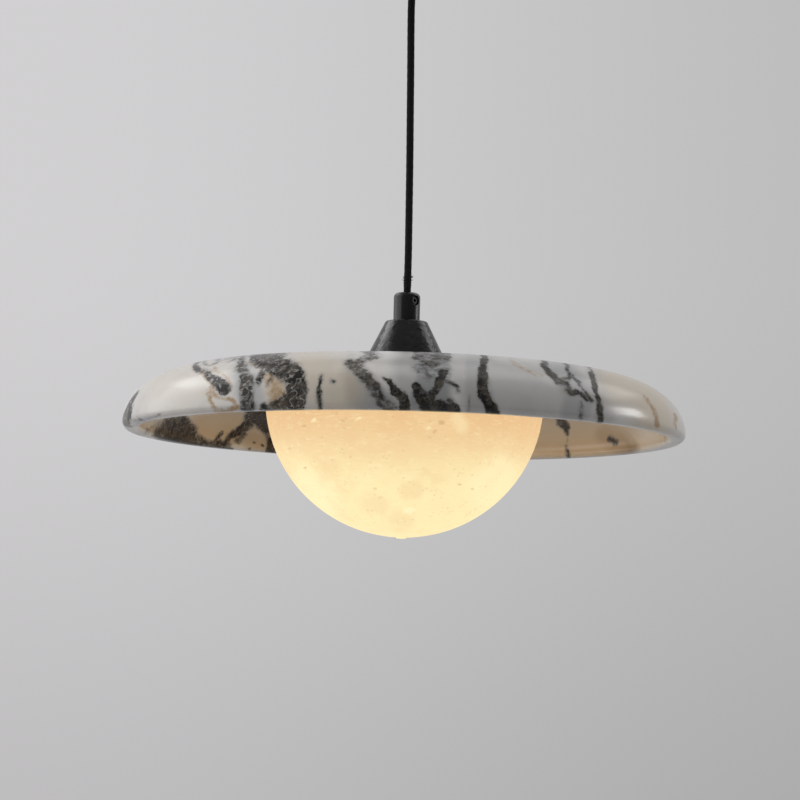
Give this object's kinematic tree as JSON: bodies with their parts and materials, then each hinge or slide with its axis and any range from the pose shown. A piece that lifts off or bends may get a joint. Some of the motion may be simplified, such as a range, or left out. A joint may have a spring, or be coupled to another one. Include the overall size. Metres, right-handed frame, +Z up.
{
  "type": "marble pendant light",
  "caption": "Pendant light: a shallow round marble shade with a moon-like lit dome below it, a cone cap, and a thin cord to a ceiling rose.",
  "frame": {"origin": "centre of the strap's top face, where the ceiling rose meets the ceiling", "axes": "+Z up into the ceiling, -Y towards the front of the lamp as pictured, +X to its right"},
  "size_m": [0.35, 0.35, 0.3918],
  "materials": {
    "black_metal": "gloss black",
    "black_enamel": "satin black",
    "plated_steel": "zinc plated",
    "brass_fitting": "plain",
    "textile": "braided black",
    "marble": "polished",
    "rubber": "matte",
    "aluminium": "plain",
    "white_plastic": "matte",
    "clear_plastic": "translucent",
    "lead_sheath": "matte",
    "earth_sheath": "matte",
    "board": "white solder mask",
    "chip": "matte",
    "thermal": "matte",
    "dome": "printed, lit from inside"
  },
  "bodies": {
    "ceiling_rose": {"ceiling_bracket": "plated_steel", "rose_cup": "black_enamel", "rose_screws": "black_metal", "earth_ring": "plated_steel", "earth_screw": "brass_fitting", "rose_grip": "black_metal", "rose_grip_screw": "plated_steel", "rose_grip_nut": "plated_steel", "cord_rose_end": "textile", "driver_pad": "rubber", "led_driver": "white_plastic", "terminal_block": "clear_plastic", "terminal_screws": "brass_fitting", "output_lead": "lead_sheath", "input_lead": "lead_sheath", "earth_lead": "earth_sheath"},
    "cord_knuckle": {"cord_top": "textile"},
    "cord": {"cord_main": "textile"},
    "cord_end": {"cord_foot": "textile"},
    "lamp": {"lamp_grip": "black_metal", "lamp_grip_screw": "black_metal", "cord_lamp_end": "textile", "threaded_tube": "plated_steel", "cone_cap": "black_metal", "cone_pad": "rubber", "upper_gasket": "rubber", "upper_washer": "plated_steel", "upper_nut": "plated_steel", "marble_shade": "marble", "lower_gasket": "rubber", "support_plate": "plated_steel", "lamp_tray": "aluminium", "lower_washer": "plated_steel", "lower_nut": "plated_steel", "thermal_pad": "thermal", "led_board": "board", "led_chips": "chip", "board_screws": "plated_steel", "board_connector": "white_plastic", "board_lead": "lead_sheath", "dome_clips": "plated_steel", "clip_rivets": "aluminium"},
    "diffuser": {"moon_dome": "dome"}
  },
  "joints": [
    {"name": "cord_swing_side", "type": "hinge", "parent": "ceiling_rose", "child": "cord_knuckle", "pos_m": [0, 0, -0.0446], "axis": [0, 1, 0], "range_deg": [-30, 30]},
    {"name": "cord_swing_front", "type": "hinge", "parent": "cord_knuckle", "child": "cord", "pos_m": [0, 0, -0.0566], "axis": [1, 0, 0], "range_deg": [-30, 30]},
    {"name": "cord_twist", "type": "hinge", "parent": "cord", "child": "cord_end", "pos_m": [0, 0, -0.2234], "axis": [0, 0, 1], "range_deg": [-180, 180], "stiffness_Nm_per_rad": 0.01},
    {"name": "lamp_tilt", "type": "hinge", "parent": "cord_end", "child": "lamp", "pos_m": [0, 0, -0.2354], "axis": [0, 1, 0], "range_deg": [-30, 30]},
    {"name": "dome_pull", "type": "slide", "parent": "lamp", "child": "diffuser", "axis": [0, 0, -1], "range_m": [0, 0.035]}
  ]
}
